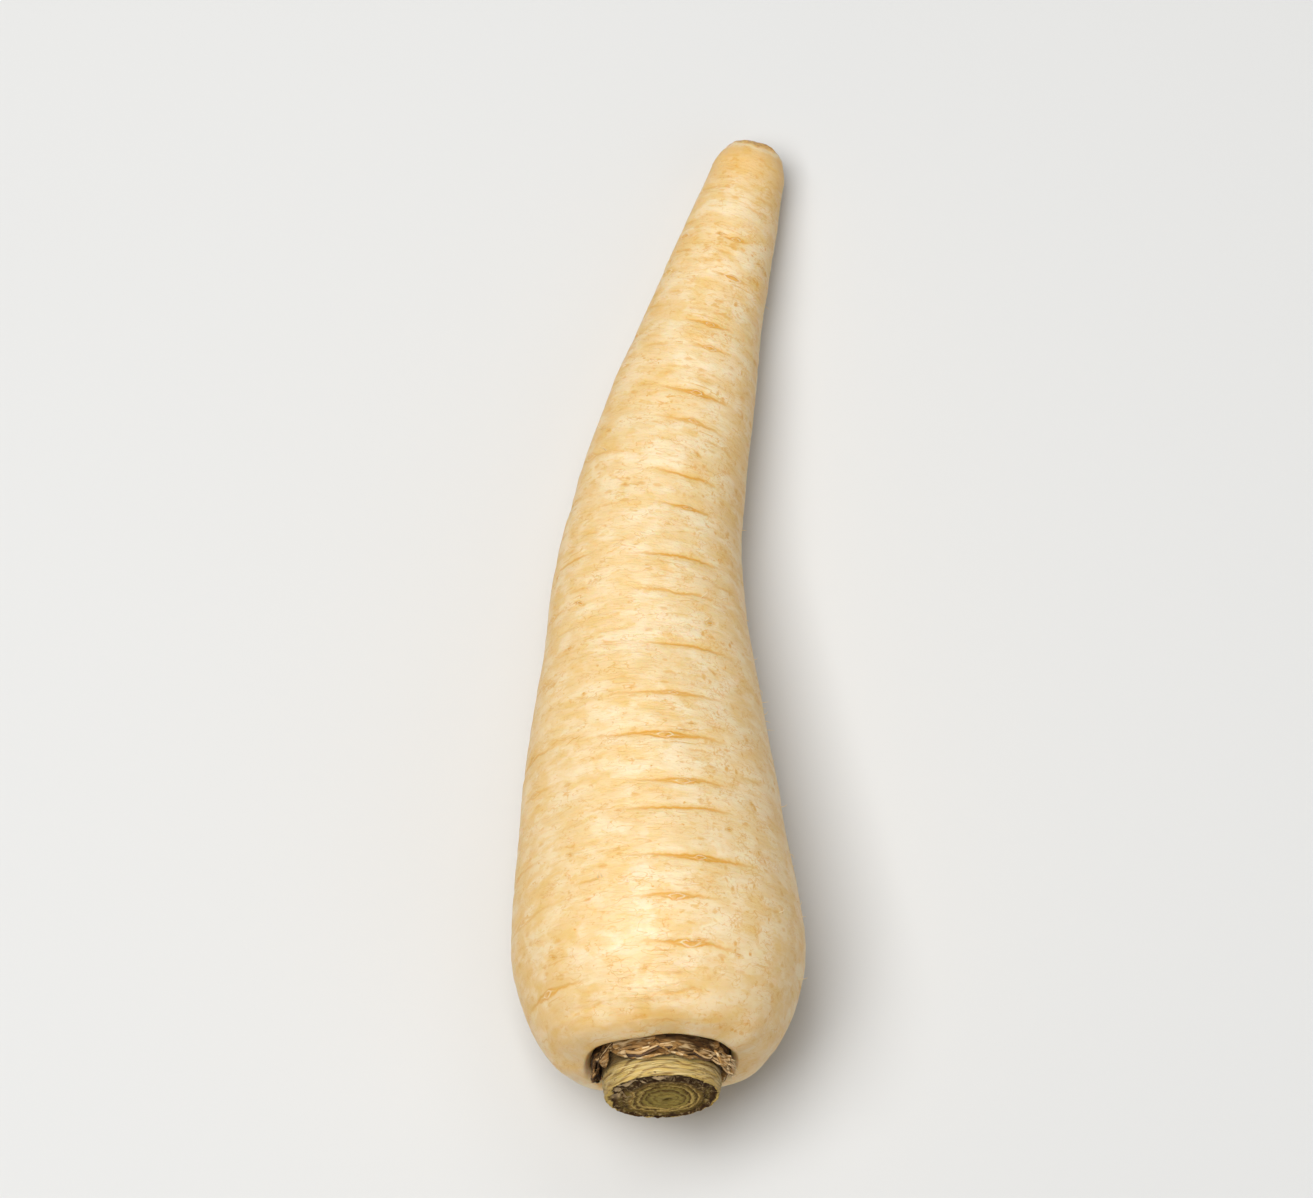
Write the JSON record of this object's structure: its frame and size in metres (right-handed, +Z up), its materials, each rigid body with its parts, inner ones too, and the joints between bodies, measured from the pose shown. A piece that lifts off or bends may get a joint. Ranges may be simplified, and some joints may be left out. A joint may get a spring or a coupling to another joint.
{
  "type": "parsnip",
  "caption": "Whole raw parsnip lying on its side: a cream, tapered root with a slight bend, its leaf stalks cut to a short stub in the sunken crown.",
  "frame": {"origin": "on the surface that the parsnip lies on, under the middle of its bounding box", "axes": "+Y from the crown towards the tip, +X to the side that the tip leans to, +Z up"},
  "size_m": [0.0444, 0.1602, 0.0456],
  "materials": {
    "skin": "satin",
    "stalk": "matte",
    "husk": "matte"
  },
  "bodies": {
    "root": {"root": "skin", "stalk_stub": "stalk", "dry_leaf_base_left": "husk", "dry_leaf_base_top_left": "husk", "dry_leaf_base_top_right": "husk", "dry_leaf_base_right": "husk", "dry_leaf_base_under_right": "husk", "dry_leaf_base_under_left": "husk"}
  },
  "joints": []
}
